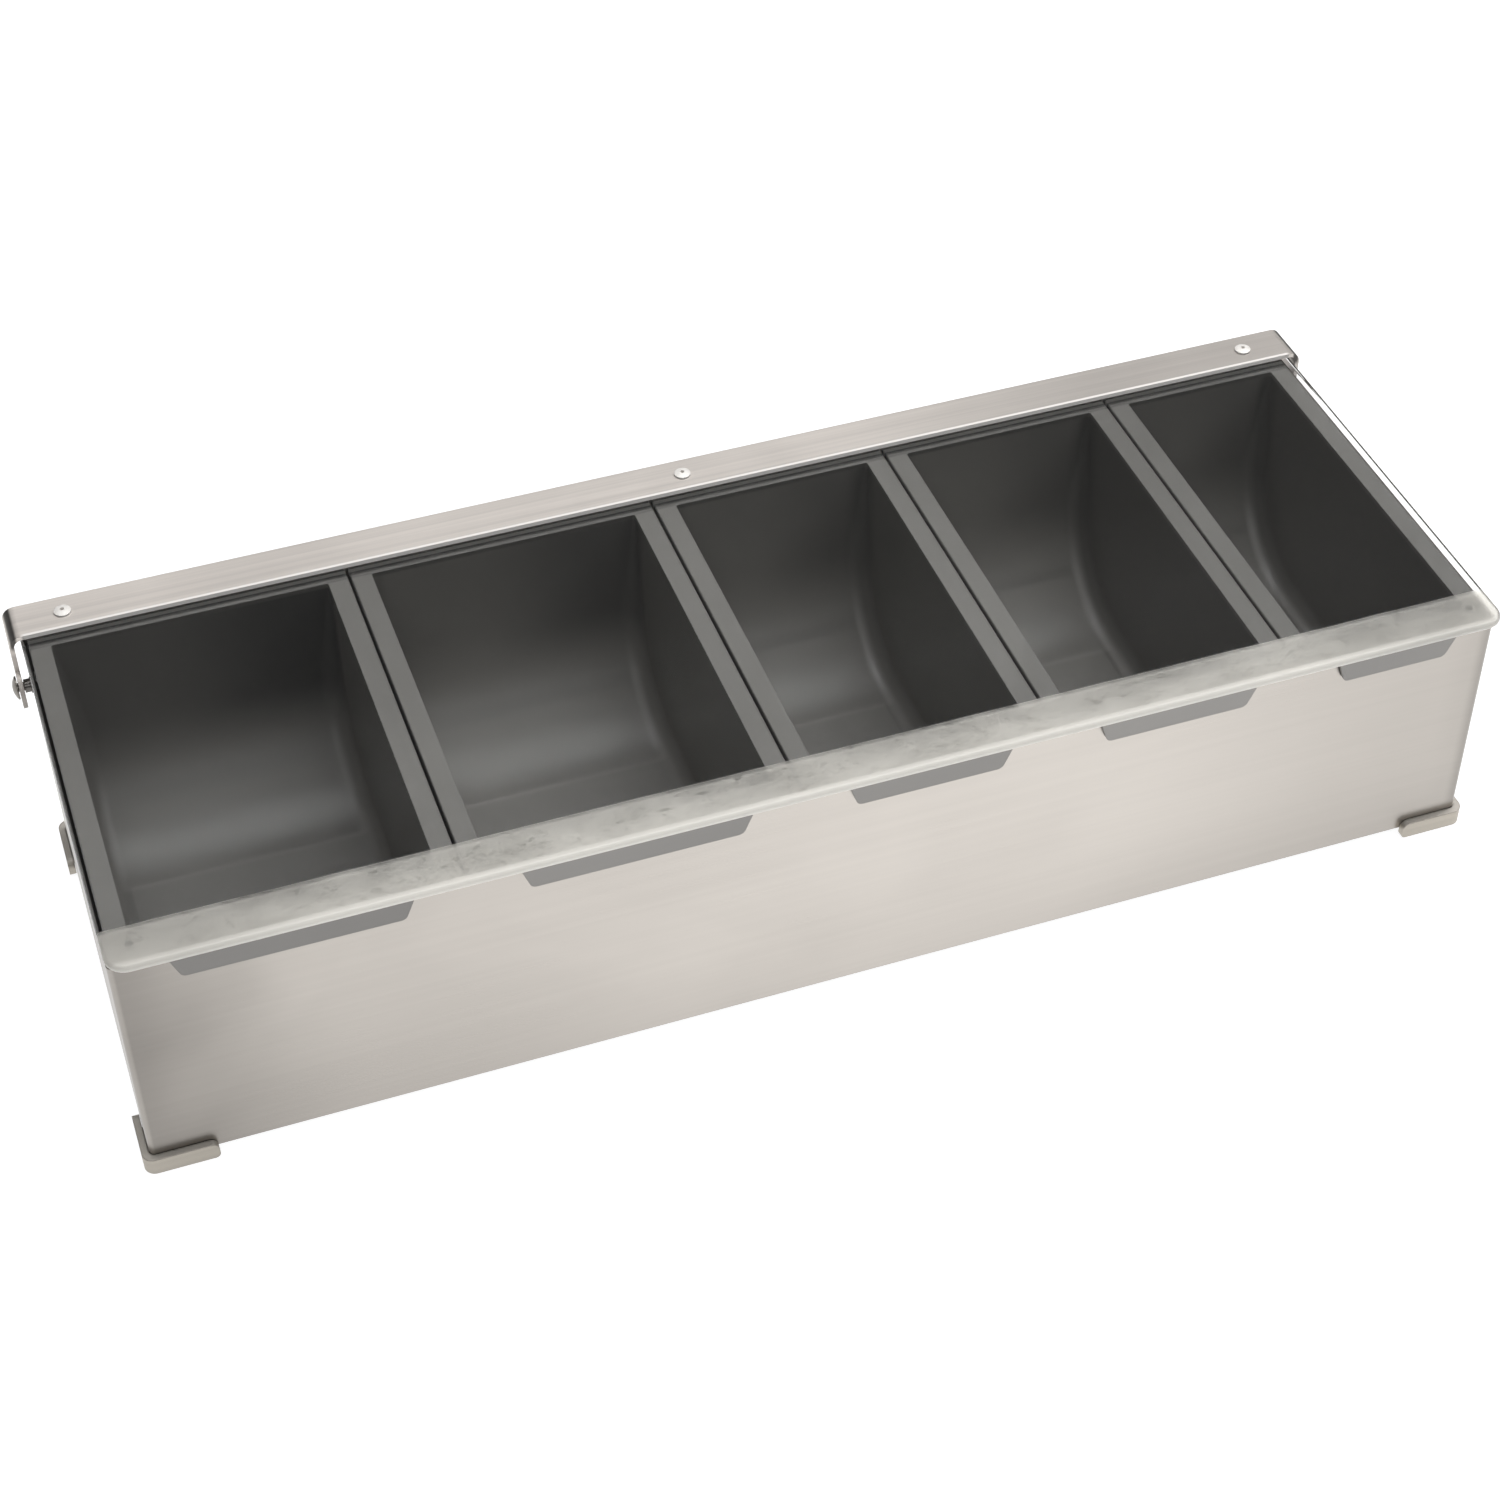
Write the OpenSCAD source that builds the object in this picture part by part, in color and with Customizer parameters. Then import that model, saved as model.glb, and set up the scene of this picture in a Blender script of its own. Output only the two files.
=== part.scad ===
// Condiment caddy: a stainless tub on four corner feet, five lift-out bins with
// scooped backs, and one clear lid on a hinged strap.
// Origin: on the table, at the middle of the tub's footprint.
// +X runs along the bins to the right, +Y to the back, +Z up.

/* [Tub] */
// Length of the tub, outside
tub_l = 460; // [440:1:520]
// Depth of the tub, outside
tub_d = 156; // [150:1:170]
// Height of the tub walls above the tub's underside
tub_h = 88.5; // [84:0.5:100]
// Thickness of the sheet
tub_t = 1; // [0.8:0.1:1.4]
// Outside radius of the upright corners
tub_r = 2; // [1.5:0.5:6]

/* [Feet] */
// Length of a corner foot along the front
foot_lx = 23.8; // [18:0.1:30]
// Length of a corner foot along the end wall
foot_ly = 21.8; // [18:0.1:30]
// Height of the foot bar
foot_h = 6.4; // [6:0.1:8]
// Thickness of the foot bar
foot_t = 2.3; // [2:0.1:3]
// How far the tub's underside stands above the table
foot_drop = 3.2; // [3:0.1:4]

/* [Bins] */
// Outside width of each of the two wide bins, over the rim
wide_w = 106.6; // [95:0.1:112]
// Outside width of each of the two medium bins, over the rim
medium_w = 84.4; // [75:0.1:90]
// Gap between neighbouring rims
rim_gap = 1; // [0.6:0.1:1.4]
// Width of the flat rim
rim_w = 6.95; // [6:0.05:8]
// Thickness of the rim
rim_t = 1.9; // [1.6:0.1:2]
// Wall thickness of the bins
bin_t = 1.8; // [1.4:0.1:2.2]
// Height of the bins' inner floor above the tub's underside
bin_floor = 13; // [8:0.5:24]
// Radius of the scooped back
scoop_r = 40; // [25:1:46]
// Radius of the inner corners and edges
bin_r = 7; // [4:0.5:9]

/* [Lid] */
// Thickness of the clear sheet
lid_t = 2.8; // [2.4:0.1:3.2]
// How far the lid reaches past the front of the tub
lid_front = 6.3; // [4:0.1:9]
// Radius of the lid's front corners, in plan
lid_r = 7; // [5:0.5:12]

/* [Hinge] */
// Width of the strap
strap_w = 16; // [15.5:0.5:18]
// Thickness of the strap
strap_t = 1.5; // [1.2:0.1:1.8]
// Distance from the tub's end wall to the arm
arm_gap = 2.8; // [2.6:0.1:3.6]
// Diameter of the pivot pins
pin_d = 3; // [2.5:0.1:3.4]
// Radius of the eye around each pin
eye_r = 7.2; // [6.5:0.1:7.6]

/* [Hidden] */
$fn = 96;

steel = [0.78, 0.75, 0.72];
satin = [0.70, 0.67, 0.63];
dark = [0.22, 0.22, 0.22];

hx = tub_l / 2;
// rims stand between the end walls, with a little play, and rest on the front and back walls
rim_z0 = tub_h;
rim_z1 = tub_h + rim_t;
rim_y0 = -0.9;
rim_y1 = tub_d - 0.4;
narrow_w = tub_l - 2 * tub_t - 2 * 0.7 - 4 * rim_gap - 2 * wide_w - 2 * medium_w;
bin_w = [wide_w, wide_w, medium_w, medium_w, narrow_w];
function bin_x0(i) = i == 0 ? -hx + tub_t + 0.7 : bin_x0(i - 1) + bin_w[i - 1] + rim_gap;
function bin_xc(i) = bin_x0(i) + bin_w[i] / 2;
// inside of a bin
in_y0 = rim_y0 + rim_w;
in_y1 = tub_d - 9.6;
scoop_y = in_y1 - scoop_r;
scoop_z = bin_floor + scoop_r;
front_r = 12;
top_r = 0.8;

// lid and hinge heights
lid_z0 = rim_z1 + 1;
lid_z1 = lid_z0 + lid_t;
strap_z1 = lid_z1 + strap_t;
strap_y0 = tub_d - 6.7;
strap_y1 = strap_y0 + strap_w;
rivet_y = strap_y0 + strap_w / 2;
rivet_x = [-hx + 15, 0, hx - 15];
arm_x0 = hx + arm_gap;
arm_x1 = arm_x0 + strap_t;
bend_r = 4.2;
pin_y = tub_d - 6;
pin_z = tub_h - 14.2;

// everything is drawn with the front plate on y = 0 and the tub's underside on z = 0,
// and moved here so that the table is z = 0 and y = 0 is the middle of the tub
module place() { translate([0, -tub_d / 2, foot_drop]) children(); }

// ---------- helpers ----------
// plan rectangle from (x0,y0) to (x1,y1) with corner radii front-left, front-right, back-right, back-left
module rrect(x0, y0, x1, y1, rfl, rfr, rbr, rbl) {
    difference() {
        translate([x0, y0]) square([x1 - x0, y1 - y0]);
        if (rfl > 0) corner_cut(x0, y0, 1, 1, rfl);
        if (rfr > 0) corner_cut(x1, y0, -1, 1, rfr);
        if (rbr > 0) corner_cut(x1, y1, -1, -1, rbr);
        if (rbl > 0) corner_cut(x0, y1, 1, -1, rbl);
    }
}
module corner_cut(x, y, sx, sy, r) {
    translate([x, y]) mirror([sx < 0 ? 1 : 0, 0]) mirror([0, sy < 0 ? 1 : 0]) difference() {
        translate([-1, -1]) square([r + 1, r + 1]);
        translate([r, r]) circle(r);
    }
}
// extrude a (y,z) outline along X from x0 to x1
module along_x(x0, x1) {
    translate([x0, 0, 0]) rotate([90, 0, 90]) linear_extrude(x1 - x0) children();
}
// extrude an (x,z) outline along Y from y0 to y1
module along_y(y0, y1) {
    translate([0, y1, 0]) rotate([90, 0, 0]) linear_extrude(y1 - y0) children();
}

// ---------- tub ----------
module tub_shell() {
    difference() {
        linear_extrude(tub_h) rrect(-hx, 0, hx, tub_d, tub_r, tub_r, tub_r, tub_r);
        translate([0, 0, tub_t]) linear_extrude(tub_h)
            rrect(-hx + tub_t, tub_t, hx - tub_t, tub_d - tub_t,
                  tub_r - tub_t, tub_r - tub_t, tub_r - tub_t, tub_r - tub_t);
    }
}
module housing() {
    color(steel) place() difference() {
        tub_shell();
        for (s = [-1, 1]) translate([s * hx, pin_y, pin_z]) rotate([0, 90, 0])
            cylinder(h = 6, d = pin_d, center = true);
    }
}

// ---------- corner foot ----------
// drawn for the front left corner, then mirrored to the others
foot_gap = 0.15;
foot_o = foot_gap + foot_t;
// outline of one leg seen from the side: square at the corner, rounded at the free end
module foot_bar(len) {
    difference() {
        square([len, foot_h]);
        corner_cut(len, 0, -1, 1, 1.8);
        corner_cut(len, foot_h, -1, -1, 2.8);
    }
}
module foot_shape() {
    z0 = -foot_drop;
    // L in plan, its two free ends rounded off
    intersection() {
        translate([0, 0, z0]) linear_extrude(foot_h) difference() {
            rrect(-hx - foot_o, -foot_o, -hx + 40, 40, 3.8, 0, 0, 0);
            rrect(-hx - foot_gap, -foot_gap, -hx + 41, 41, tub_r + foot_gap, 0, 0, 0);
        }
        union() {
            translate([-hx - foot_o, -foot_gap, z0]) rotate([90, 0, 0]) linear_extrude(foot_t) foot_bar(foot_lx);
            translate([-hx - foot_o, -foot_o, z0]) rotate([90, 0, 90]) linear_extrude(foot_t) foot_bar(foot_ly);
            // both legs meet here
            translate([-hx - foot_o, -foot_o, z0]) cube([foot_o + tub_r + 1, foot_o + tub_r + 1, foot_h]);
        }
    }
    // welding pad under the tub's floor
    translate([0, 0, -1.6]) linear_extrude(1.6)
        rrect(-hx - foot_gap - 0.5, -foot_gap - 0.5, -hx + 15, 15, tub_r + foot_gap + 0.5, 0, 6, 0);
}
module foot(mx, my) {
    color(satin) place() translate([0, my ? tub_d : 0, 0])
        mirror([mx ? 1 : 0, 0, 0]) mirror([0, my ? 1 : 0, 0]) foot_shape();
}
module foot_front_left() foot(false, false);
module foot_front_right() foot(true, false);
module foot_rear_left() foot(false, true);
module foot_rear_right() foot(true, true);

// ---------- bins ----------
// one solid with a scooped back, w wide, grown outwards by g; the inside and the outside of a bin.
// Its upright corners are square at the rim and grow round downwards inside; outside they are small all the way.
module scoop(w, g, ztop) {
    hw = w / 2 + g;
    r = bin_r + g;
    y0 = in_y0 - g;
    y1 = in_y1 + g;
    z0 = bin_floor - g;
    rb = scoop_r + g;
    rf = front_r + g;
    fy = y0 + rf;
    fz = z0 + rf;
    // straight upper part
    if (g > 0) translate([0, 0, scoop_z]) linear_extrude(ztop - scoop_z)
        rrect(-hw, y0, hw, y1, g + top_r, g + top_r, g + top_r, g + top_r);
    else {
        hull() {
            translate([0, 0, scoop_z]) linear_extrude(0.01) rrect(-hw, y0, hw, y1, r, r, r, r, $fn = 64);
            translate([0, 0, rim_z1]) linear_extrude(0.01) rrect(-hw, y0, hw, y1, top_r, top_r, top_r, top_r, $fn = 64);
        }
        translate([0, 0, rim_z1]) linear_extrude(ztop - rim_z1) rrect(-hw, y0, hw, y1, top_r, top_r, top_r, top_r);
    }
    // front part below it, down to the front bottom curve
    translate([0, 0, fz]) linear_extrude(scoop_z - fz) rrect(-hw, y0, hw, fy, r, r, 0, 0);
    // front bottom curve
    translate([0, fy, fz]) rotate([0, 90, 0]) rotate([0, 0, -90]) quarter(hw, rf, r);
    // flat floor part, rounded along both side edges
    along_y(fy, scoop_y) rrect(-hw, z0, hw, scoop_z, r, r, 0, 0);
    // scooped back
    translate([0, scoop_y, scoop_z]) rotate([0, 90, 0]) quarter(hw, rb, r);
}
// a quarter of a wheel about Z, half width hw, radius rr, its rim edges rounded by r
module quarter(hw, rr, r) {
    rotate_extrude(angle = 90) difference() {
        translate([0, -hw]) square([rr, 2 * hw]);
        corner_cut(rr, -hw, -1, 1, r);
        corner_cut(rr, hw, -1, -1, r);
    }
}
// outline of a pull tab seen from the front: narrower at the bottom, lower corners rounded
tab_slope = 0.35;
module tab_outline(w, zt, zb) {
    mid = (0.875 * w - 8.7) / 2;
    ht = mid + tab_slope * (zt - tub_h + 2.5);
    hb = mid - tab_slope * (tub_h - 2.5 - zb);
    r = 2.4;
    ang = 90 + atan(tab_slope);
    tl = r / tan(ang / 2);
    sx = tl * sin(ang - 90);
    sz = tl * cos(ang - 90);
    polygon([[-ht, zt], [-hb - sx, zb + sz], [-hb + tl, zb], [hb - tl, zb], [hb + sx, zb + sz], [ht, zt]]);
    translate([-hb + tl, zb + r]) circle(r);
    translate([hb - tl, zb + r]) circle(r);
}
// pull tab over the front plate, centred on x = 0
module pull_tab(w) {
    zb = tub_h - 8.5;
    intersection() {
        along_x(-w / 2, w / 2) polygon([[0.2, rim_z0], [0.2, rim_z1], [-2, rim_z1], [-2.6, rim_z1 - 0.6],
                                        [-1.6, zb], [-0.3, zb], [-1.2, rim_z0]]);
        along_y(-5, 5) tab_outline(w, rim_z1 + 1, zb);
    }
}
// flat rim, its upper edges chamfered by c, and by cb at the back, where the lid swings past
module rim(w) {
    c = 0.3;
    cb = 1;
    intersection() {
        translate([0, 0, rim_z0]) linear_extrude(rim_t) rrect(-w / 2, rim_y0, w / 2, rim_y1, 4, 4, 4, 4);
        along_x(-w, w) polygon([[rim_y0, rim_z0 - 1], [rim_y0, rim_z1 - c], [rim_y0 + c, rim_z1],
                                [rim_y1 - cb, rim_z1], [rim_y1, rim_z1 - cb], [rim_y1, rim_z0 - 1]]);
        along_y(rim_y0 - 1, rim_y1 + 1) polygon([[-w / 2, rim_z0 - 1], [-w / 2, rim_z1 - c], [-w / 2 + c, rim_z1],
                                [w / 2 - c, rim_z1], [w / 2, rim_z1 - c], [w / 2, rim_z0 - 1]]);
    }
}
module bin(i) {
    w = bin_w[i] - 2 * rim_w;
    color(dark) place() translate([bin_xc(i), 0, 0]) difference() {
        union() {
            scoop(w, bin_t, rim_z0 + 1);
            rim(bin_w[i]);
            pull_tab(w);
        }
        scoop(w, 0, rim_z1 + 1);
    }
}
module bin_1() bin(0);
module bin_2() bin(1);
module bin_3() bin(2);
module bin_4() bin(3);
module bin_5() bin(4);

// ---------- lid ----------
module lid_panel() {
    hr = lid_t / 2;
    lx = hx + 0.4;
    y0 = -lid_front;
    y1 = strap_y1 - 0.8;
    color([0.85, 0.9, 0.92, 0.35]) place() difference() {
        translate([0, 0, lid_z0]) union() {
            // flat sheet
            linear_extrude(lid_t) rrect(-lx + hr, y0 + hr, lx - hr, y1, lid_r - hr, lid_r - hr, 0, 0);
            // rounded front edge, front corners and side edges
            translate([0, y0 + hr, hr]) rotate([0, 90, 0]) cylinder(h = 2 * (lx - lid_r), r = hr, center = true);
            for (s = [-1, 1]) {
                translate([s * (lx - lid_r), y0 + lid_r, hr]) rotate([0, 0, s < 0 ? 180 : 270])
                    rotate_extrude(angle = 90) translate([lid_r - hr, 0]) circle(hr);
                translate([s * (lx - hr), y0 + lid_r, hr]) rotate([-90, 0, 0])
                    cylinder(h = y1 - y0 - lid_r, r = hr);
            }
        }
        for (x = rivet_x) translate([x, rivet_y, lid_z0 - 1]) cylinder(h = lid_t + 2, d = 3.2);
    }
}

// ---------- hinge strap ----------
// point where a line from p touches the circle about c, on the side s
function tangent_at(p, c, r, s) =
    let (d = norm(p - c), a = atan2(p[1] - c[1], p[0] - c[0]) + s * acos(r / d))
    c + r * [cos(a), sin(a)];
module arm_outline() {
    c = [pin_y, pin_z];
    zt = strap_z1 - bend_r;
    f0 = [strap_y0, zt];
    b0 = [strap_y1, zt];
    kb = [strap_y1, zt - 9];
    tb = tangent_at(kb, c, eye_r, -1);
    zf = pin_z + sqrt(pow(eye_r, 2) - pow(strap_y0 - pin_y, 2));
    difference() {
        union() {
            polygon([f0, [strap_y0, zf], c, tb, kb, b0]);
            translate(c) circle(eye_r);
        }
        translate(c) circle(d = pin_d + 0.1);
    }
}
module bend() {
    translate([arm_x1 - bend_r, strap_y1, strap_z1 - bend_r]) rotate([90, 0, 0])
        linear_extrude(strap_w) intersection() {
            difference() { circle(bend_r); circle(bend_r - strap_t); }
            square(bend_r + 1);
        }
}
module hinge_strap() {
    color(steel) place() difference() {
        union() {
            translate([-(arm_x1 - bend_r), strap_y0, lid_z1]) cube([2 * (arm_x1 - bend_r), strap_w, strap_t]);
            bend();
            mirror([1, 0, 0]) bend();
            along_x(arm_x0, arm_x1) arm_outline();
            along_x(-arm_x1, -arm_x0) arm_outline();
        }
        for (x = rivet_x) translate([x, rivet_y, lid_z1 - 1]) cylinder(h = strap_t + 2, d = 3.2);
    }
}

// ---------- rivets, washers and bumpers on the lid ----------
washer_t = 0.5;
module rivet() {
    // domed head on the strap, shank through strap and lid, set tail under the washer
    difference() {
        union() {
            translate([0, 0, strap_z1]) intersection() {
                cylinder(h = 1.3, d = 5.7);
                translate([0, 0, 1.3 - 6.5]) sphere(6.5);
            }
            translate([0, 0, lid_z0 - washer_t]) cylinder(h = strap_z1 - lid_z0 + washer_t, d = 3);
            translate([0, 0, lid_z0 - washer_t - 0.6]) cylinder(h = 0.6, d = 4.2);
        }
        translate([0, 0, strap_z1 - 1]) cylinder(h = 4, d = 1.4);
    }
}
module lid_rivets() {
    color([0.9, 0.9, 0.89]) place() for (x = rivet_x) translate([x, rivet_y, 0]) rivet();
}
module lid_washers() {
    color(satin) place() for (x = rivet_x) translate([x, rivet_y, lid_z0 - washer_t]) difference() {
        cylinder(h = washer_t, d = 5.2);
        translate([0, 0, -1]) cylinder(h = washer_t + 2, d = 3.2);
    }
}
module lid_bumpers() {
    color([0.8, 0.8, 0.78]) place() for (s = [-1, 1]) translate([s * (hx - 8), 4.6, lid_z0 - 0.6])
        cylinder(h = 0.6, d = 2.6);
}

// ---------- pivots, drawn for the right end ----------
module on_end(s) { place() translate([0, pin_y, pin_z]) mirror([s < 0 ? 1 : 0, 0, 0]) rotate([0, 90, 0]) children(); }
head_x = arm_x1 + 0.3;
module pin_shape() {
    translate([0, 0, hx - tub_t - 3.4]) cylinder(h = head_x - hx + tub_t + 3.4, d = pin_d);
    // low domed head
    translate([0, 0, head_x]) cylinder(h = 0.5, d = 8);
    translate([0, 0, head_x + 0.5]) intersection() {
        cylinder(h = 1.3, d = 8);
        translate([0, 0, 1.3 - 6.8]) sphere(6.8);
    }
}
module bush_shape() {
    translate([0, 0, hx]) difference() {
        union() {
            cylinder(h = arm_gap - 0.3, d = 4.6);
            cylinder(h = 0.5, d = 5.6);
        }
        translate([0, 0, -1]) cylinder(h = arm_gap + 2, d = pin_d);
    }
}
module nut_shape() {
    // hexagon, with a small round seat against the wall
    translate([0, 0, hx - tub_t - 2.8]) difference() {
        union() {
            cylinder(h = 2.4, d = 5.5 / cos(30), $fn = 6);
            cylinder(h = 2.8, d = 3.8);
        }
        translate([0, 0, -1]) cylinder(h = 5, d = pin_d);
    }
}
module pivot_pin_left() color(satin) on_end(-1) pin_shape();
module pivot_pin_right() color(satin) on_end(1) pin_shape();
module pivot_bush_left() color([0.45, 0.44, 0.42]) on_end(-1) bush_shape();
module pivot_bush_right() color([0.45, 0.44, 0.42]) on_end(1) bush_shape();
module pivot_nut_left() color(satin) on_end(-1) nut_shape();
module pivot_nut_right() color(satin) on_end(1) nut_shape();

housing();
foot_front_left();
foot_front_right();
foot_rear_left();
foot_rear_right();
bin_1();
bin_2();
bin_3();
bin_4();
bin_5();
lid_panel();
hinge_strap();
lid_rivets();
lid_washers();
lid_bumpers();
pivot_pin_left();
pivot_pin_right();
pivot_bush_left();
pivot_bush_right();
pivot_nut_left();
pivot_nut_right();
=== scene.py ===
import math

import bpy
from mathutils import Matrix, Vector

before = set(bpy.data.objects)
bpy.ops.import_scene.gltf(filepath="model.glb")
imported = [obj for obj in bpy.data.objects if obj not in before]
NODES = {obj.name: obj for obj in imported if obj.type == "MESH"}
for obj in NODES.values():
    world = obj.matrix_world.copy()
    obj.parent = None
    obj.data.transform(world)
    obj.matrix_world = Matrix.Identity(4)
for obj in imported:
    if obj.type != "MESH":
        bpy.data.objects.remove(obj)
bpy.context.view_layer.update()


scene = bpy.context.scene


# ---------------------------------------------------------------- shader helpers
class Mat:
    """A material with one Principled shader and short calls to build nodes in front of it."""

    def __init__(self, name):
        self.m = bpy.data.materials.new(name)
        self.m.use_nodes = True
        self.t = self.m.node_tree
        self.t.nodes.clear()
        self.out = self.t.nodes.new("ShaderNodeOutputMaterial")
        self.p = self.t.nodes.new("ShaderNodeBsdfPrincipled")
        self.t.links.new(self.p.outputs[0], self.out.inputs[0])
        self.xyz = self.t.nodes.new("ShaderNodeTexCoord").outputs["Object"]

    def new(self, kind, **props):
        n = self.t.nodes.new(kind)
        for k, v in props.items():
            setattr(n, k, v)
        return n

    def link(self, a, b):
        self.t.links.new(a, b)

    def put(self, socket, value):
        if isinstance(value, bpy.types.NodeSocket):
            self.link(value, socket)
        else:
            socket.default_value = value

    def scaled(self, scale, rotation=(0, 0, 0), location=(0, 0, 0)):
        n = self.new("ShaderNodeMapping")
        self.link(self.xyz, n.inputs["Vector"])
        n.inputs["Scale"].default_value = scale
        n.inputs["Rotation"].default_value = rotation
        n.inputs["Location"].default_value = location
        return n.outputs[0]

    def noise(self, vector, scale=1.0, detail=2.0, rough=0.5, distortion=0.0):
        n = self.new("ShaderNodeTexNoise")
        self.link(vector, n.inputs["Vector"])
        n.inputs["Scale"].default_value = scale
        n.inputs["Detail"].default_value = detail
        n.inputs["Roughness"].default_value = rough
        n.inputs["Distortion"].default_value = distortion
        return n.outputs[0]

    def remap(self, value, lo, hi, out_lo, out_hi, smooth=False):
        n = self.new("ShaderNodeMapRange")
        if smooth:
            n.interpolation_type = "SMOOTHSTEP"
        self.put(n.inputs[0], value)
        for i, v in enumerate((lo, hi, out_lo, out_hi), 1):
            self.put(n.inputs[i], v)
        return n.outputs[0]

    def math(self, op, a, b=0.0, clamp=False):
        n = self.new("ShaderNodeMath", operation=op)
        n.use_clamp = clamp
        self.put(n.inputs[0], a)
        self.put(n.inputs[1], b)
        return n.outputs[0]

    def mix(self, fac, a, b):
        n = self.new("ShaderNodeMix", data_type="RGBA")
        self.put(n.inputs[0], fac)
        self.put(n.inputs[6], a if isinstance(a, bpy.types.NodeSocket) else (*a, 1.0))
        self.put(n.inputs[7], b if isinstance(b, bpy.types.NodeSocket) else (*b, 1.0))
        return n.outputs[2]

    def split(self, vector):
        n = self.new("ShaderNodeSeparateXYZ")
        self.link(vector, n.inputs[0])
        return n.outputs

    def bevel(self, radius, samples=4):
        n = self.new("ShaderNodeBevel")
        n.samples = samples
        n.inputs["Radius"].default_value = radius
        return n.outputs[0]

    def bump(self, height, distance, strength=1.0, normal=None):
        n = self.new("ShaderNodeBump")
        n.inputs["Strength"].default_value = strength
        n.inputs["Distance"].default_value = distance
        self.link(height, n.inputs["Height"])
        if normal is not None:
            self.link(normal, n.inputs["Normal"])
        return n.outputs[0]

    def set(self, **kw):
        for k, v in kw.items():
            s = self.p.inputs[k.replace("_", " ")]
            if isinstance(v, bpy.types.NodeSocket):
                self.link(v, s)
            elif isinstance(v, tuple) and len(v) == 3 and s.type == "RGBA":
                s.default_value = (*v, 1.0)
            else:
                s.default_value = v
        return self


def use(mat, *names):
    for name in names:
        o = NODES[name]
        o.data.materials.clear()
        o.data.materials.append(mat.m)


# ---------------------------------------------------------------- materials
def brushed(name, base, along, rough=(0.30, 0.42), bevel=0.0004, tone=0.10, blotch=0.06, painted_light_ramps=(), edge=None, top_highlight=None, bend=()):
    """Stainless sheet: fine grain lines that run where `along` is small and cross where it is large.

    Each painted shade or highlight ramp is (axis, mirrored, wander, from, to, factor at from, factor at to).
    The lines of `bend` are alike, paint shade and highlight, and hold only on the two end bends of the strap.
    """
    m = Mat(name)
    fine = m.noise(m.scaled(tuple(a * 5200 if a > 0.5 else 14 for a in along)), 1.0, 3.0, 0.6)
    band = m.noise(m.scaled(tuple(a * 520 if a > 0.5 else 5 for a in along)), 1.0, 2.0, 0.55)
    cloud = m.noise(m.scaled((9, 9, 14)), 1.0, 3.0, 0.5, 0.4)
    f = m.remap(band, 0.3, 0.7, 0.0, 1.0)
    c = m.remap(cloud, 0.3, 0.7, 0.0, 1.0, True)
    dark = tuple(v * (1 - tone) for v in base)
    light = tuple(min(1.0, v * (1 + tone * 0.6)) for v in base)
    col = m.mix(f, dark, light)
    veil = m.mix(c, tuple(1 - blotch for _ in base), (1.0, 1.0, 1.0))
    mul = m.new("ShaderNodeMix", data_type="RGBA", blend_type="MULTIPLY")
    mul.inputs[0].default_value = 1.0
    m.link(col, mul.inputs[6])
    m.link(veil, mul.inputs[7])
    whole = mul.outputs[2]
    def factor(lines):
        total = None
        for axis, mirrored, wander, lo, hi, at_lo, at_hi in lines:
            v = m.split(m.xyz)[axis]
            if mirrored:
                v = m.math("ABSOLUTE", v)
            if wander:
                v = m.math("ADD", v, m.math("MULTIPLY", m.math("SUBTRACT", cloud, 0.5), wander))
            f = m.remap(v, lo, hi, at_lo, at_hi, True)
            total = f if total is None else m.math("MULTIPLY", total, f)
        return total

    # painted shade and highlight ramps scale the colour
    total = factor(painted_light_ramps)
    # painted shade and highlight on the two end bends of the strap
    if bend:
        high = m.remap(m.split(m.xyz)[2], 0.0925, 0.0955, 0.0, 1.0, True)
        total = m.math("MULTIPLY", total, m.math("ADD", 1.0, m.math("MULTIPLY", high, m.math("SUBTRACT", factor(bend), 1.0))))
    if total is not None:
        scaled = m.new("ShaderNodeVectorMath", operation="SCALE")
        m.link(whole, scaled.inputs[0])
        m.link(total, scaled.inputs["Scale"])
        whole = scaled.outputs[0]
    r = m.remap(m.math("ADD", m.math("MULTIPLY", fine, 0.6), m.math("MULTIPLY", cloud, 0.4)), 0.3, 0.7, rough[0], rough[1])
    metallic = 1.0
    round_edge = m.bevel(bevel)
    if edge is not None:
        # the cut front edge is broken to a slope by a bump, and painted near white and matt as a painted highlight, so
        # it shows brighter than the face
        near = m.math("MULTIPLY", m.remap(m.split(m.xyz)[1], edge + 0.0008, edge + 0.0014, 1.0, 0.0, True),
                      m.remap(m.math("ABSOLUTE", m.split(m.xyz)[0]), 0.2290, 0.2302, 1.0, 0.0))
        slope = m.math("MULTIPLY", near, m.remap(m.split(m.xyz)[2], 0.0974, 0.0989, 1.0, 0.0))
        round_edge = m.bump(slope, 0.0024, 1.0, round_edge)
        whole = m.mix(near, whole, (1.0, 0.965, 0.93))
        metallic = m.remap(near, 0.0, 1.0, 1.0, 0.1)
    if top_highlight is not None:
        # upward faces are painted lighter and less metallic, a painted highlight of the light from above
        up = m.remap(m.split(m.new("ShaderNodeNewGeometry").outputs["Normal"])[2], 0.5, 0.9, 0.0, 1.0)
        whole = m.mix(up, whole, top_highlight)
        metallic = m.remap(up, 0.0, 1.0, 1.0, 0.25)
    m.set(Base_Color=whole, Metallic=metallic, Roughness=r,
          Normal=m.bump(fine, 0.00002, 0.35, round_edge))
    return m


# the tub's ramps are painted shade and highlight: darker towards both ends and at the right corner, a painted light
# strip at the left corner
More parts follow.
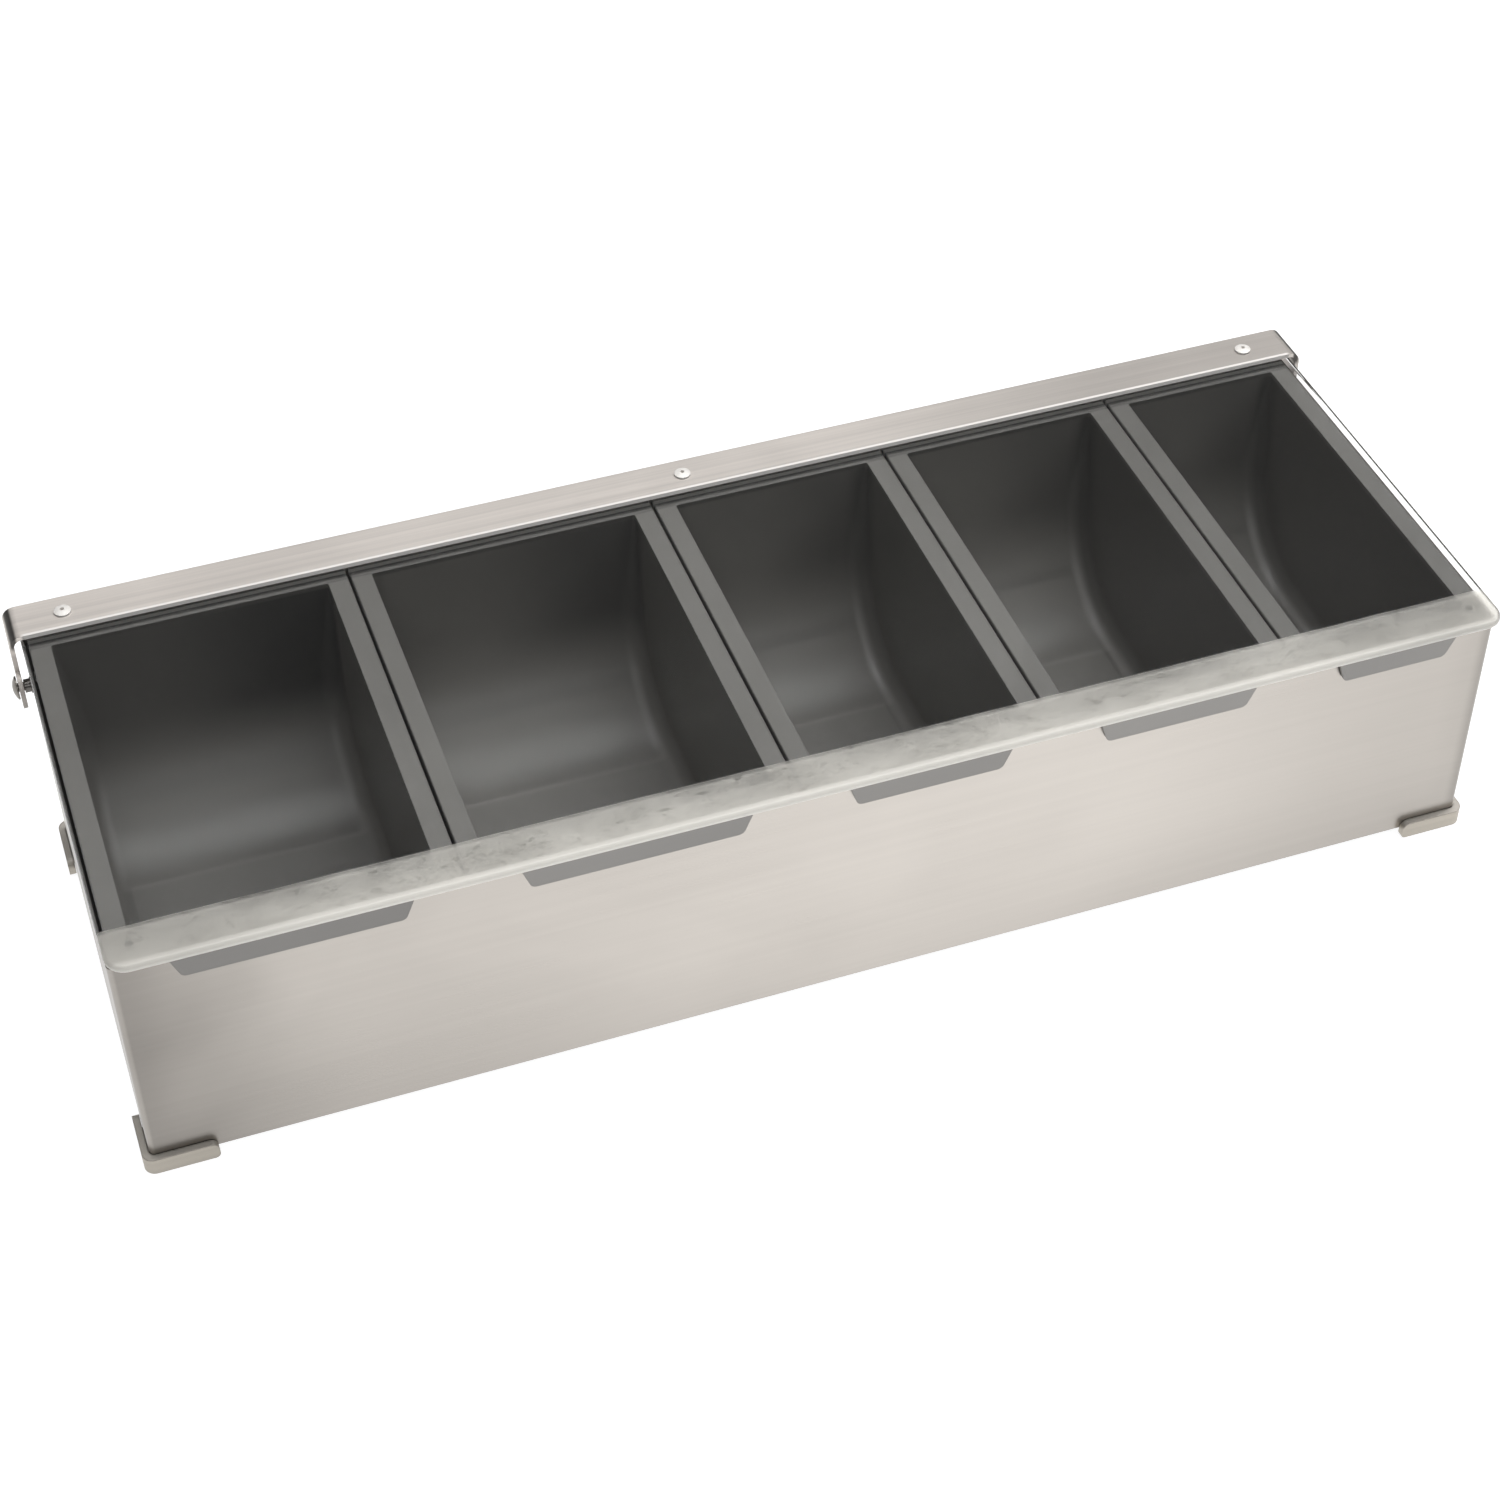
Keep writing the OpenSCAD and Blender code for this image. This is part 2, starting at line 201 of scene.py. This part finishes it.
tub = brushed("brushed_tub", (0.60, 0.562, 0.520), (0, 0, 1), rough=(0.26, 0.36), tone=0.02, blotch=0.08,
              painted_light_ramps=[(0, False, 0.04, -0.240, -0.160, 0.54, 1.0),
                     (0, False, 0.08, -0.200, 0.0, 0.82, 1.0),
                     (0, False, 0.04, 0.09, 0.225, 1.0, 0.78),
                     (0, True, 0.0, 0.2130, 0.2270, 1.0, 0.95),
                     (0, False, 0.0, -0.2290, -0.2278, 1.32, 1.0),
                     (0, False, 0.0, 0.2240, 0.2293, 1.0, 0.74)])
# the strap's ramps are painted shade, darker towards its right end and down its arms; its bend lines paint a dark band
# and a light outer face on each bend
strap = brushed("brushed_strap", (0.945, 0.89, 0.84), (0, 1, 0), rough=(0.50, 0.62), bevel=0.0003, tone=0.08, blotch=0.08,
                painted_light_ramps=[(0, False, 0.06, -0.03, 0.21, 1.0, 0.74),
                       (2, False, 0.0, 0.0905, 0.0950, 0.65, 1.0),
                       (2, False, 0.0, 0.0660, 0.0840, 0.50, 1.0)],
                bend=[(0, True, 0.0, 0.2312, 0.2322, 1.0, 0.16), (0, True, 0.0, 0.2334, 0.2342, 1.0, 5.0)],
                edge=0.0713)
# the feet's ramp is painted shade, darker towards the left; their upward faces get a painted highlight
foot = brushed("satin_foot", (0.50, 0.465, 0.41), (0, 0, 1), rough=(0.48, 0.58), bevel=0.0010, tone=0.05, blotch=0.08,
               painted_light_ramps=[(0, False, 0.0, -0.2, 0.2, 0.95, 1.09)], top_highlight=(0.80, 0.75, 0.68))
use(tub, "housing")
use(strap, "hinge_strap")
use(foot, "foot_front_left", "foot_front_right", "foot_rear_left", "foot_rear_right")


# inside of each bin from left to right, painted shade and light: darkening of the back wall at its left and right
# ends, tone of the inside (painted brightening), and darkening of the right wall (painted shade)
PAINTED_BIN_SHADE = ((-0.221, -0.129, 0.27, 0.87, 0.99, 0.08), (-0.113, -0.020, 0.0, 0.64, 1.27, 0.06),
         (-0.006, 0.064, 0.0, 0.35, 1.30, 0.20), (0.079, 0.150, 0.0, 0.35, 1.42, 0.38),
         (0.165, 0.2215, 0.0, 0.30, 1.21, 0.36))


def bin_plastic():
    m = Mat("bin_plastic")
    grain = m.noise(m.scaled((1, 1, 1)), 1900.0, 2.0, 0.55)
    wave = m.noise(m.scaled((1, 1, 1)), 22.0, 2.0, 0.5)
    cloud = m.noise(m.scaled((1, 1, 1)), 9.0, 3.0, 0.5)
    col = m.mix(m.remap(cloud, 0.3, 0.7, 0.0, 1.0, True), (0.175, 0.167, 0.157), (0.199, 0.190, 0.179))
    # the rear strip of each rim, under the strap, is painted dark as the strap's painted shadow, crossed by a painted
    # lighter line
    y = m.split(m.xyz)[1]
    rear = m.remap(y, 0.0697, 0.0701, 0.0, 1.0)
    line = m.math("MULTIPLY", m.remap(y, 0.0713, 0.0716, 0.0, 1.0), m.remap(y, 0.0728, 0.0732, 1.0, 0.0))
    col = m.mix(rear, col, m.mix(line, (0.035, 0.034, 0.032), (0.60, 0.585, 0.56)))
    # painted shade: the rim just in front of that strip is darker, the edge of the strap's painted shadow
    shade = m.math("MULTIPLY", m.remap(y, 0.0680, 0.0684, 0.0, 0.35), m.remap(y, 0.0697, 0.0701, 1.0, 0.0))
    shade = m.math("MULTIPLY", shade, m.remap(m.split(m.xyz)[2], 0.0915, 0.0925, 0.0, 1.0))
    col = m.mix(shade, col, (0.02, 0.02, 0.02))
    # painted shade: the upper part of each back wall is a little darker towards its right end
    low = m.math("MULTIPLY", m.remap(y, 0.058, 0.066, 0.0, 1.0, True), m.remap(m.split(m.xyz)[2], 0.0915, 0.0925, 1.0, 0.0))
    low = m.math("MULTIPLY", low, m.remap(m.split(m.xyz)[2], 0.035, 0.055, 0.0, 1.0, True))
    inner = m.remap(m.split(m.xyz)[2], 0.0915, 0.0925, 1.0, 0.0)
    dim = None
    for left, right, start, depth, tone, wall in PAINTED_BIN_SHADE:
        x = m.split(m.xyz)[0]
        part = m.math("MULTIPLY", m.remap(x, left, left + 0.004, 0.0, tone - 1.0), m.remap(x, right - 0.008, right - 0.002, 1.0, 0.0))
        part = m.math("SUBTRACT", part, m.math("MULTIPLY", m.remap(x, right - 0.005, right - 0.002, 0.0, wall),
                                               m.remap(x, right + 0.003, right + 0.004, 1.0, 0.0)))
        gain = part if dim is None else m.math("ADD", gain, part)
        f = m.math("MULTIPLY", m.remap(x, left + 0.30 * (right - left), left + 0.85 * (right - left), start, depth, True),
                   m.remap(x, right + 0.004, right + 0.005, 1.0, 0.0))
        dim = f if dim is None else m.math("ADD", dim, f)
    col = m.mix(m.math("MULTIPLY", low, dim), col, (0.03, 0.03, 0.03))
    # painted shade: the flat floor is darker than the scoop behind it
    flat = m.math("MULTIPLY", m.remap(m.split(m.xyz)[2], 0.0164, 0.0172, 0.22, 0.0), m.remap(y, 0.0255, 0.0284, 1.0, 0.0, True))
    col = m.mix(flat, col, (0.01, 0.01, 0.01))
    # painted light and shade: the inside of each bin is scaled by its tone and its right wall darkened
    lift = m.new("ShaderNodeVectorMath", operation="SCALE")
    m.link(col, lift.inputs[0])
    rim = m.remap(m.split(m.xyz)[0], -0.2212, -0.2208, 0.92, 1.0)
    m.link(m.math("ADD", rim, m.math("MULTIPLY", gain, inner)), lift.inputs["Scale"])
    col = lift.outputs[0]
    r = m.remap(m.math("ADD", m.math("MULTIPLY", grain, 0.5), m.math("MULTIPLY", cloud, 0.5)), 0.35, 0.65, 0.38, 0.48)
    soft = m.bump(wave, 0.0004, 0.25, m.bevel(0.0005))
    m.set(Base_Color=col, Roughness=r, Normal=m.bump(grain, 0.00004, 0.3, soft), Specular_IOR_Level=0.85)
    return m


plastic = bin_plastic()
use(plastic, *["bin_%d" % i for i in range(1, 6)])


def clear_lid():
    """Clear acrylic, with a band along the front that is frosted on both faces."""
    m = Mat("clear_lid")
    y = m.split(m.xyz)[1]
    wob = m.noise(m.scaled((1, 1, 1)), 60.0, 2.0, 0.5)
    edge = m.math("ADD", y, m.math("MULTIPLY", m.math("SUBTRACT", wob, 0.5), 0.0006))
    band = m.remap(edge, -0.0673 - 0.00025, -0.0673 + 0.00025, 1.0, 0.0)
    speck = m.noise(m.scaled((1, 1, 1)), 900.0, 3.0, 0.6)
    scuff = m.noise(m.scaled((240, 420, 240), (0, 0, 0.5)), 1.0, 4.0, 0.7, 1.2)
    cloud = m.noise(m.scaled((1, 1, 1)), 70.0, 3.0, 0.55)
    stain = m.noise(m.scaled((22, 60, 22)), 1.0, 4.0, 0.6, 0.6)
    grain = m.math("ADD", m.remap(m.math("ADD", m.math("MULTIPLY", speck, 0.5), m.math("MULTIPLY", cloud, 0.5)), 0.3, 0.7, -0.09, 0.09),
                   m.remap(stain, 0.3, 0.7, -0.09, 0.09))
    grain = m.math("SUBTRACT", grain, m.remap(scuff, 0.54, 0.68, 0.0, 0.20))
    # the frost thickens a little towards the front, thins at both ends, and the rounded lip is the whitest
    ends = m.math("MULTIPLY", m.remap(m.split(m.xyz)[0], -0.222, -0.15, 0.72, 1.0, True),
                  m.remap(m.split(m.xyz)[0], 0.15, 0.222, 1.0, 0.66, True))
    thick = m.math("MULTIPLY", m.math("ADD", m.remap(y, -0.0673, -0.0815, 0.23, 0.39), grain), ends)
    lip = m.remap(y, -0.0812, -0.0822, 0.0, 1.0)
    frost = m.remap(lip, 0.0, 1.0, thick, m.remap(ends, 0.70, 1.0, 0.51, 0.71))
    clear = m.math("SUBTRACT", 1.0, m.math("MULTIPLY", band, frost))
    rough = m.remap(band, 0.0, 1.0, 0.0, 0.34)
    # the side edges are painted greyer than the sheet, a painted dark outline where the clear sheet ends
    side = m.remap(m.math("ABSOLUTE", m.split(m.xyz)[0]), 0.2298, 0.2303, 0.0, 1.0)
    sheet = m.mix(side, (1.0, 1.0, 1.0), (0.62, 0.64, 0.63))
    m.set(Base_Color=m.mix(band, sheet, (0.95, 0.925, 0.865)), Roughness=rough, IOR=1.49,
          Transmission_Weight=clear)
    clearer = m.new("ShaderNodeBsdfTransparent")
    clearer.inputs[0].default_value = (0.96, 0.97, 0.965, 1.0)
    path = m.new("ShaderNodeLightPath")
    share = m.math("MULTIPLY", path.outputs["Is Shadow Ray"], m.remap(band, 0.0, 1.0, 1.0, 0.62))
    both = m.new("ShaderNodeMixShader")
    m.link(share, both.inputs[0])
    m.link(m.p.outputs[0], both.inputs[1])
    m.link(clearer.outputs[0], both.inputs[2])
    m.link(both.outputs[0], m.out.inputs[0])
    return m


lid = clear_lid()
use(lid, "lid_panel")


def metal(name, base, rough, tone=0.06, scale=900.0, bump=0.00002, metallic=1.0):
    m = Mat(name)
    fine = m.noise(m.scaled((1, 1, 1)), scale, 3.0, 0.6)
    c = m.mix(m.remap(fine, 0.3, 0.7, 0.0, 1.0), tuple(v * (1 - tone) for v in base), base)
    m.set(Base_Color=c, Metallic=metallic, Roughness=m.remap(fine, 0.3, 0.7, rough - 0.05, rough + 0.06),
          Normal=m.bump(fine, bump, 0.3, m.bevel(0.0002)))
    return m


rivet = metal("rivet_metal", (1.0, 0.97, 0.93), 0.55, metallic=0.15)
small = metal("small_metal", (0.50, 0.49, 0.48), 0.36)
pin = metal("pin_metal", (0.22, 0.205, 0.185), 0.34)
bush = metal("bush_metal", (0.20, 0.19, 0.18), 0.30)
use(rivet, "lid_rivets")
use(small, "lid_washers", "pivot_nut_left", "pivot_nut_right")
use(pin, "pivot_pin_left", "pivot_pin_right")
use(bush, "pivot_bush_left", "pivot_bush_right")


def clear_rubber():
    m = Mat("clear_rubber")
    n = m.noise(m.scaled((1, 1, 1)), 700.0, 3.0, 0.5)
    m.set(Base_Color=m.mix(m.remap(n, 0.3, 0.7, 0.0, 1.0), (0.62, 0.62, 0.60), (0.72, 0.72, 0.70)),
          Roughness=m.remap(n, 0.3, 0.7, 0.35, 0.5), IOR=1.42, Transmission_Weight=0.6)
    return m


use(clear_rubber(), "lid_bumpers")


# ---------------------------------------------------------------- camera
cam = bpy.data.cameras.new("camera")
cam.sensor_width = 36.0
cam.lens = 69.74
cam.clip_start = 0.01
cam.clip_end = 50
eye = bpy.data.objects.new("camera", cam)
scene.collection.objects.link(eye)
az, el, roll = math.radians(19.0), math.radians(-43.24), math.radians(0.591)
fwd = Vector((math.cos(el) * math.sin(az), math.cos(el) * math.cos(az), math.sin(el)))
right = fwd.cross(Vector((0, 0, 1))).normalized()
down = fwd.cross(right)
r = right * math.cos(roll) + down * math.sin(roll)
d = -right * math.sin(roll) + down * math.cos(roll)
rot = Matrix((r, -d, -fwd)).transposed().to_4x4()
eye.matrix_world = Matrix.Translation((-0.2390, -0.6838, 0.7191)) @ rot
scene.camera = eye


# ---------------------------------------------------------------- floor and light
def floor():
    me = bpy.data.meshes.new("floor")
    s = 6.0
    me.from_pydata([(-s, -s, 0), (s, -s, 0), (s, s, 0), (-s, s, 0)], [], [(0, 1, 2, 3)])
    o = bpy.data.objects.new("floor", me)
    scene.collection.objects.link(o)
    m = Mat("floor")
    n = m.noise(m.scaled((1, 1, 1)), 3.0, 2.0, 0.5)
    # a white table that glows a little, so the ground stays white round the feet
    m.set(Base_Color=m.mix(n, (0.34, 0.34, 0.34), (0.36, 0.36, 0.36)), Roughness=0.9, Specular_IOR_Level=0.0,
          Emission_Color=(1.0, 1.0, 1.0), Emission_Strength=0.95)
    me.materials.append(m.m)
    return o


floor()


def panel(name, place, target, size_x, size_y, radiance, colour=(1, 1, 1)):
    """Flat light of the given radiance, so its strength doesn't hang on its size."""
    l = bpy.data.lights.new(name, "AREA")
    l.shape = "RECTANGLE"
    l.size = size_x
    l.size_y = size_y
    l.energy = radiance * math.pi * size_x * size_y
    l.color = colour
    o = bpy.data.objects.new(name, l)
    scene.collection.objects.link(o)
    o.location = place
    o.rotation_euler = (Vector(target) - Vector(place)).to_track_quat("-Z", "Y").to_euler()
    return o


LIGHTS = (
    ("above", (0.35, 0.28, 1.7), 2.0, 0.85, 4.5),
    ("above_right", (1.95, 0.1, 1.7), 1.2, 1.6, 2.3),
    ("front", (0.4, -2.3, 1.9), 3.6, 1.2, 2.2),
)
for name, place, size_x, size_y, radiance in LIGHTS:
    panel(name, place, (place[0], place[1], 0), size_x, size_y, radiance)

world = bpy.data.worlds.new("world")
scene.world = world
world.use_nodes = True
tree = world.node_tree
back = tree.nodes["Background"]
back.inputs[0].default_value = (1, 1, 1, 1)
# weak as a light, white where it is seen directly or through the clear sheet
path = tree.nodes.new("ShaderNodeLightPath")
bounced = tree.nodes.new("ShaderNodeMath")
bounced.operation = "ADD"
bounced.use_clamp = True
tree.links.new(path.outputs["Diffuse Depth"], bounced.inputs[0])
tree.links.new(path.outputs["Glossy Depth"], bounced.inputs[1])
strength = tree.nodes.new("ShaderNodeMapRange")
tree.links.new(bounced.outputs[0], strength.inputs[0])
strength.inputs[3].default_value = 1.0
strength.inputs[4].default_value = 0.09
tree.links.new(strength.outputs[0], back.inputs[1])

scene.view_settings.view_transform = "Standard"
scene.view_settings.look = "None"
scene.view_settings.exposure = 0.0
scene.cycles.max_bounces = 14
scene.cycles.transmission_bounces = 10
scene.cycles.transparent_max_bounces = 12
scene.cycles.sample_clamp_indirect = 4.0
scene.cycles.caustics_refractive = False
scene.cycles.caustics_reflective = False
